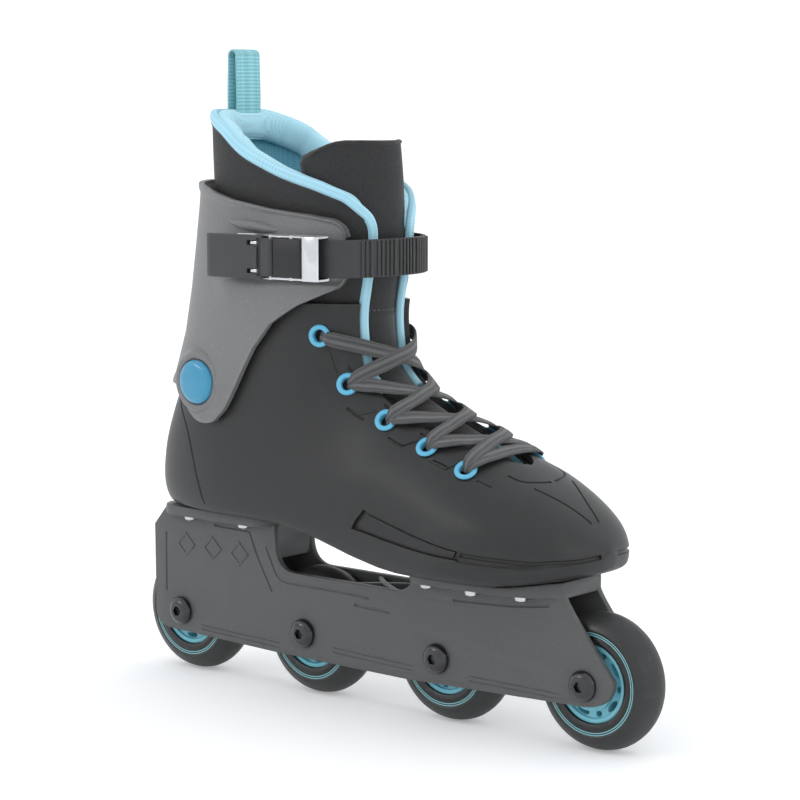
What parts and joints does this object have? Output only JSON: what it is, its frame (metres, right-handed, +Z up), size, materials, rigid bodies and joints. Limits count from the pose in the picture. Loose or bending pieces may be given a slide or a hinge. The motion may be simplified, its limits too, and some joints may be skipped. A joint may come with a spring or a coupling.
{
  "type": "inline skate",
  "caption": "Right-foot inline skate: a moulded laced boot with a padded liner, a hinged cuff with a ratchet buckle, and a frame that carries wheels in one line.",
  "frame": {"origin": "on the floor, midway between the first and last axle, in the plane of the wheels", "axes": "+X towards the toe, +Y towards the inner side of the right foot, +Z up"},
  "size_m": [0.3484, 0.1082, 0.3485],
  "materials": {
    "shell_plastic": "moulded, fine texture",
    "cuff_plastic": "moulded, satin",
    "frame_plastic": "moulded, satin",
    "leatherette": "grained, stitched",
    "liner_padding": "padded mesh",
    "insole_cloth": "brushed knit",
    "webbing": "ribbed tape",
    "lace_cloth": "flat woven",
    "blue_plastic": "polished",
    "hub_plastic": "moulded, semi-gloss",
    "urethane": "cast, satin",
    "chrome": "plated",
    "steel": "plated",
    "black_steel": "blackened",
    "black_plastic": "moulded, satin"
  },
  "bodies": {
    "boot": {"boot_shell": "shell_plastic", "eyelet_lateral_1": "blue_plastic", "eyelet_lateral_2": "blue_plastic", "eyelet_lateral_3": "blue_plastic", "eyelet_lateral_4": "blue_plastic", "eyelet_lateral_5": "blue_plastic", "eyelet_medial_1": "blue_plastic", "eyelet_medial_2": "blue_plastic", "eyelet_medial_3": "blue_plastic", "eyelet_medial_4": "blue_plastic", "eyelet_medial_5": "blue_plastic", "laces": "lace_cloth", "liner": "liner_padding", "insole": "insole_cloth", "tongue": "leatherette", "cuff_pivot_pin_lateral": "steel", "cuff_pivot_pin_medial": "steel", "cuff_pivot_cap_lateral": "blue_plastic", "cuff_pivot_cap_medial": "blue_plastic", "frame": "frame_plastic", "spacer_1": "steel", "axle_bolt_1": "black_steel", "axle_nut_1": "black_steel", "spacer_2": "steel", "axle_bolt_2": "black_steel", "axle_nut_2": "black_steel", "spacer_3": "steel", "axle_bolt_3": "black_steel", "axle_nut_3": "black_steel", "spacer_4": "steel", "axle_bolt_4": "black_steel", "axle_nut_4": "black_steel"},
    "cuff": {"cuff": "cuff_plastic", "buckle_base": "chrome", "buckle_rivet": "steel", "lever_pin": "steel", "pawl_pin": "steel", "pawl_spring": "steel", "ladder_strap": "black_plastic", "strap_screw": "black_steel", "pull_loop": "webbing"},
    "buckle_lever": {"buckle_lever": "black_plastic"},
    "buckle_pawl": {"buckle_pawl": "black_plastic"},
    "wheel_1": {"tyre_1": "urethane", "hub_1": "hub_plastic", "bearing_lateral_1": "steel", "bearing_medial_1": "steel"},
    "wheel_2": {"tyre_2": "urethane", "hub_2": "hub_plastic", "bearing_lateral_2": "steel", "bearing_medial_2": "steel"},
    "wheel_3": {"tyre_3": "urethane", "hub_3": "hub_plastic", "bearing_lateral_3": "steel", "bearing_medial_3": "steel"},
    "wheel_4": {"tyre_4": "urethane", "hub_4": "hub_plastic", "bearing_lateral_4": "steel", "bearing_medial_4": "steel"}
  },
  "joints": [
    {"name": "cuff_flex", "type": "hinge", "parent": "boot", "child": "cuff", "pos_m": [-0.101, 0, 0.17], "axis": [0, 1, 0], "range_deg": [-4, 10], "stiffness_Nm_per_rad": 3, "deforming": ["liner"]},
    {"name": "lever_open", "type": "hinge", "parent": "cuff", "child": "buckle_lever", "pos_m": [-0.0375, -0.05018, 0.2405], "axis": [0, 0, 1], "range_deg": [0, 88]},
    {"name": "pawl_release", "type": "hinge", "parent": "cuff", "child": "buckle_pawl", "pos_m": [-0.02353, -0.04921, 0.2405], "axis": [0, 0, -1], "range_deg": [0, 8], "stiffness_Nm_per_rad": 0.2},
    {"name": "wheel_1_spin", "type": "hinge", "parent": "boot", "child": "wheel_1", "pos_m": [-0.1392, 0, 0.035], "axis": [0, 1, 0], "continuous": true},
    {"name": "wheel_2_spin", "type": "hinge", "parent": "boot", "child": "wheel_2", "pos_m": [-0.0464, 0, 0.035], "axis": [0, 1, 0], "continuous": true},
    {"name": "wheel_3_spin", "type": "hinge", "parent": "boot", "child": "wheel_3", "pos_m": [0.0464, 0, 0.035], "axis": [0, 1, 0], "continuous": true},
    {"name": "wheel_4_spin", "type": "hinge", "parent": "boot", "child": "wheel_4", "pos_m": [0.1392, 0, 0.035], "axis": [0, 1, 0], "continuous": true}
  ]
}
